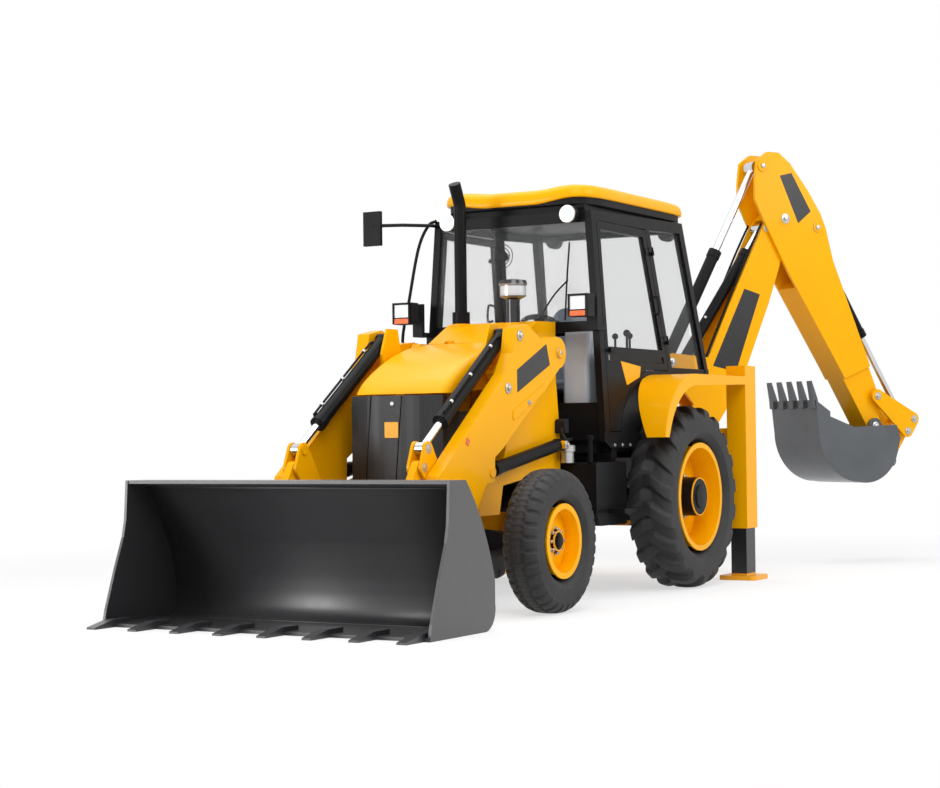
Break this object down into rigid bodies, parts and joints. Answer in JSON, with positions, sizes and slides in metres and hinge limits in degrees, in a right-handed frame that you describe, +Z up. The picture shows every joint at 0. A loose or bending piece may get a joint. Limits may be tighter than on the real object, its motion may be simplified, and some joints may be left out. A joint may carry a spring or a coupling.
{
  "type": "backhoe loader",
  "caption": "Tractor digger with a front loading shovel on lift arms, a glazed cab, two ground stabilisers and a rear digging arm on a sliding, slewing carriage.",
  "frame": {"origin": "on the ground, below the middle of the whole machine as it stands", "axes": "+X forward to the shovel, +Y to the machine's left, +Z up"},
  "size_m": [7.7038, 2.6026, 3.3594],
  "materials": {
    "yellow_paint": "gloss",
    "black_paint": "satin",
    "dark_steel": "satin",
    "engine_grey": "rough",
    "grille_plastic": "matte",
    "air_bowl": "satin",
    "ram_chrome": "polished",
    "tyre": "matte",
    "seat_cover": "woven",
    "pane": "clear",
    "lamp_lens": "clear"
  },
  "bodies": {
    "chassis": {"chassis_frame": "black_paint", "loader_towers": "yellow_paint", "engine_block": "engine_grey", "radiator_grille": "grille_plastic", "bonnet_cowl": "yellow_paint", "exhaust_stack": "black_paint", "air_precleaner": "air_bowl", "side_tanks": "black_paint", "front_axle": "black_paint", "rear_axle": "black_paint", "rear_fenders": "yellow_paint", "cab_frame": "black_paint", "cab_roof": "yellow_paint", "cab_glass": "pane", "cab_interior": "grille_plastic", "operator_seat": "seat_cover", "lamp_housings": "grille_plastic", "lamp_lenses": "lamp_lens", "mirrors": "grille_plastic", "rear_frame": "yellow_paint"},
    "bonnet": {"bonnet": "yellow_paint"},
    "loader_arms": {"loader_arms": "yellow_paint"},
    "lift_ram_barrels": {"lift_ram_barrels": "black_paint"},
    "lift_ram_rods": {"lift_ram_rods": "ram_chrome"},
    "shovel_ram_barrels": {"shovel_ram_barrels": "black_paint"},
    "shovel_ram_rods": {"shovel_ram_rods": "ram_chrome"},
    "tipping_levers": {"tipping_levers": "yellow_paint"},
    "shovel_links": {"shovel_links": "yellow_paint"},
    "shovel": {"shovel": "dark_steel"},
    "kingpost": {"kingpost": "yellow_paint"},
    "boom": {"boom": "yellow_paint"},
    "boom_ram_barrel": {"boom_ram_barrel": "black_paint"},
    "boom_ram_rod": {"boom_ram_rod": "ram_chrome"},
    "dipper": {"dipper": "yellow_paint"},
    "dipper_ram_barrel": {"dipper_ram_barrel": "black_paint"},
    "dipper_ram_rod": {"dipper_ram_rod": "ram_chrome"},
    "bucket_ram_barrel": {"bucket_ram_barrel": "black_paint"},
    "bucket_ram_rod": {"bucket_ram_rod": "ram_chrome"},
    "bucket_lever": {"bucket_lever": "yellow_paint"},
    "bucket_link": {"bucket_link": "yellow_paint"},
    "digging_bucket": {"digging_bucket": "dark_steel"},
    "carriage": {"sideshift_carriage": "yellow_paint"},
    "knuckle_left": {"knuckle_left": "black_paint"},
    "front_wheel_left": {"front_tyre_left": "tyre", "front_rim_left": "yellow_paint"},
    "rear_wheel_left": {"rear_tyre_left": "tyre", "rear_rim_left": "yellow_paint"},
    "door_left": {"door_left": "black_paint", "door_glass_left": "pane"},
    "stabiliser_left": {"stabiliser_leg_left": "black_paint"},
    "knuckle_right": {"knuckle_right": "black_paint"},
    "front_wheel_right": {"front_tyre_right": "tyre", "front_rim_right": "yellow_paint"},
    "rear_wheel_right": {"rear_tyre_right": "tyre", "rear_rim_right": "yellow_paint"},
    "door_right": {"door_right": "black_paint", "door_glass_right": "pane"},
    "stabiliser_right": {"stabiliser_leg_right": "black_paint"}
  },
  "joints": [
    {"name": "steering_left", "type": "hinge", "parent": "chassis", "child": "knuckle_left", "pos_m": [1.91994, 0.47872, 0.44], "axis": [0, 0, 1], "range_deg": [-28, 28]},
    {"name": "steering_right", "type": "hinge", "parent": "chassis", "child": "knuckle_right", "pos_m": [1.91994, -0.84128, 0.44], "axis": [0, 0, 1], "range_deg": [-28, 28]},
    {"name": "front_wheel_spin_left", "type": "hinge", "parent": "knuckle_left", "child": "front_wheel_left", "pos_m": [1.91994, 0.73372, 0.44], "axis": [0, 1, 0], "continuous": true},
    {"name": "rear_wheel_spin_left", "type": "hinge", "parent": "chassis", "child": "rear_wheel_left", "pos_m": [-0.25006, 0.65372, 0.64], "axis": [0, 1, 0], "continuous": true},
    {"name": "front_wheel_spin_right", "type": "hinge", "parent": "knuckle_right", "child": "front_wheel_right", "pos_m": [1.91994, -1.09628, 0.44], "axis": [0, 1, 0], "continuous": true},
    {"name": "rear_wheel_spin_right", "type": "hinge", "parent": "chassis", "child": "rear_wheel_right", "pos_m": [-0.25006, -1.01628, 0.64], "axis": [0, 1, 0], "continuous": true},
    {"name": "bonnet_hinge", "type": "hinge", "parent": "chassis", "child": "bonnet", "pos_m": [1.25194, -0.18128, 1.716], "axis": [0, -1, 0], "range_deg": [0, 60]},
    {"name": "door_left_hinge", "type": "hinge", "parent": "chassis", "child": "door_left", "pos_m": [-0.39006, 0.51228, 1.60453], "axis": [0.2145, -0.0681, 0.9743], "range_deg": [0, 95]},
    {"name": "door_right_hinge", "type": "hinge", "parent": "chassis", "child": "door_right", "pos_m": [-0.39006, -0.87483, 1.60453], "axis": [-0.2145, -0.0681, -0.9743], "range_deg": [0, 95]},
    {"name": "stabiliser_left", "type": "slide", "parent": "chassis", "child": "stabiliser_left", "axis": [0, 0, -1], "range_m": [-0.34, 0.2]},
    {"name": "stabiliser_right", "type": "slide", "parent": "chassis", "child": "stabiliser_right", "axis": [0, 0, -1], "range_m": [-0.34, 0.2]},
    {"name": "loader_lift", "type": "hinge", "parent": "chassis", "child": "loader_arms", "pos_m": [1.14994, -0.18128, 1.62], "axis": [0, -1, 0], "range_deg": [-3, 85]},
    {"name": "lift_ram_swing", "type": "hinge", "parent": "chassis", "child": "lift_ram_barrels", "pos_m": [1.08994, -0.18128, 1.02], "axis": [0, -1, 0], "range_deg": [-3.46, 70.69]},
    {"name": "lift_ram_stroke", "type": "slide", "parent": "lift_ram_barrels", "child": "lift_ram_rods", "axis": [0.9864, 0, -0.1644], "range_m": [-0.03719, 0.7804]},
    {"name": "shovel_tilt", "type": "hinge", "parent": "loader_arms", "child": "shovel", "pos_m": [2.86994, -0.18128, 0.25], "axis": [0, 1, 0], "range_deg": [-40, 120]},
    {"name": "tipping_lever_swing", "type": "hinge", "parent": "loader_arms", "child": "tipping_levers", "pos_m": [2.40994, -0.18128, 0.62], "axis": [0, 1, 0], "range_deg": [-27.63, 80.88]},
    {"name": "shovel_link_swing", "type": "hinge", "parent": "tipping_levers", "child": "shovel_links", "pos_m": [2.68494, -0.18128, 0.9], "axis": [0, 1, 0], "range_deg": [-91.21, 31.07]},
    {"name": "shovel_ram_swing", "type": "hinge", "parent": "loader_arms", "child": "shovel_ram_barrels", "pos_m": [1.64994, -0.18128, 1.72], "axis": [0, 1, 0], "range_deg": [-3.8, 9.39]},
    {"name": "shovel_ram_stroke", "type": "slide", "parent": "shovel_ram_barrels", "child": "shovel_ram_rods", "axis": [0.813, 0, -0.5822], "range_m": [-0.19148, 0.55444]},
    {"name": "sideshift", "type": "slide", "parent": "chassis", "child": "carriage", "axis": [0, 1, 0], "range_m": [-0.55, 0.55]},
    {"name": "slew", "type": "hinge", "parent": "carriage", "child": "kingpost", "pos_m": [-1.61006, -0.18128, 0.7], "axis": [0, 0, -1], "range_deg": [-124, 60]},
    {"name": "boom_lift", "type": "hinge", "parent": "kingpost", "child": "boom", "pos_m": [-1.83903, -0.0382, 0.95], "axis": [-0.5299, -0.848, 0], "range_deg": [-6, 103]},
    {"name": "boom_ram_swing", "type": "hinge", "parent": "kingpost", "child": "boom_ram_barrel", "pos_m": [-1.62702, -0.17068, 1.3], "axis": [-0.5299, -0.848, 0], "range_deg": [-6.63, 97.64]},
    {"name": "boom_ram_stroke", "type": "slide", "parent": "boom_ram_barrel", "child": "boom_ram_rod", "axis": [-0.4901, 0.3063, 0.8161], "range_m": [-0.04613, 0.6302]},
    {"name": "dipper_swing", "type": "hinge", "parent": "boom", "child": "dipper", "pos_m": [-2.63196, 0.45728, 2.823], "axis": [0.5299, 0.848, 0], "range_deg": [-18, 100]},
    {"name": "dipper_ram_swing", "type": "hinge", "parent": "boom", "child": "dipper_ram_barrel", "pos_m": [-1.69833, -0.12612, 1.64755], "axis": [0.5299, 0.848, 0], "range_deg": [-4.18, 1.57]},
    {"name": "dipper_ram_stroke", "type": "slide", "parent": "dipper_ram_barrel", "child": "dipper_ram_rod", "axis": [-0.4099, 0.2561, 0.8754], "range_m": [-0.73194, 0.13995]},
    {"name": "bucket_tilt", "type": "hinge", "parent": "dipper", "child": "digging_bucket", "pos_m": [-3.39096, 0.93155, 1.13], "axis": [0.5299, 0.848, 0], "range_deg": [-10, 120]},
    {"name": "bucket_lever_swing", "type": "hinge", "parent": "dipper", "child": "bucket_lever", "pos_m": [-3.40021, 0.93733, 1.37897], "axis": [0.5299, 0.848, 0], "range_deg": [-8.77, 94.24]},
    {"name": "bucket_link_swing", "type": "hinge", "parent": "bucket_lever", "child": "bucket_link", "pos_m": [-3.66723, 1.10419, 1.08506], "axis": [0.5299, 0.848, 0], "range_deg": [-78.28, 7.44]},
    {"name": "bucket_ram_swing", "type": "hinge", "parent": "dipper", "child": "bucket_ram_barrel", "pos_m": [-2.90624, 0.62867, 2.76323], "axis": [0.5299, 0.848, 0], "range_deg": [-1.82, 10.82]},
    {"name": "bucket_ram_stroke", "type": "slide", "parent": "bucket_ram_barrel", "child": "bucket_ram_rod", "axis": [-0.4422, 0.2763, -0.8533], "range_m": [-0.58868, 0.05822]}
  ],
  "couplings": [
    {"joint": "steering_right", "follows": "steering_left", "ratio": 1},
    {"joint": "lift_ram_swing", "follows": "loader_lift", "ratio": 0.81983},
    {"joint": "lift_ram_stroke", "follows": "loader_lift", "m_per_rad": 0.5193},
    {"joint": "tipping_lever_swing", "follows": "shovel_tilt", "ratio": 0.66569},
    {"joint": "shovel_link_swing", "follows": "shovel_tilt", "ratio": -0.75179},
    {"joint": "shovel_ram_swing", "follows": "shovel_tilt", "ratio": 0.069895},
    {"joint": "shovel_ram_stroke", "follows": "shovel_tilt", "m_per_rad": 0.25995},
    {"joint": "boom_ram_swing", "follows": "boom_lift", "ratio": 0.9382},
    {"joint": "boom_ram_stroke", "follows": "boom_lift", "m_per_rad": 0.345},
    {"joint": "dipper_ram_swing", "follows": "dipper_swing", "ratio": -0.031836},
    {"joint": "dipper_ram_stroke", "follows": "dipper_swing", "m_per_rad": -0.41364},
    {"joint": "bucket_lever_swing", "follows": "bucket_tilt", "ratio": 0.77704},
    {"joint": "bucket_link_swing", "follows": "bucket_tilt", "ratio": -0.64399},
    {"joint": "bucket_ram_swing", "follows": "bucket_tilt", "ratio": 0.081827},
    {"joint": "bucket_ram_stroke", "follows": "bucket_tilt", "m_per_rad": -0.2763}
  ]
}
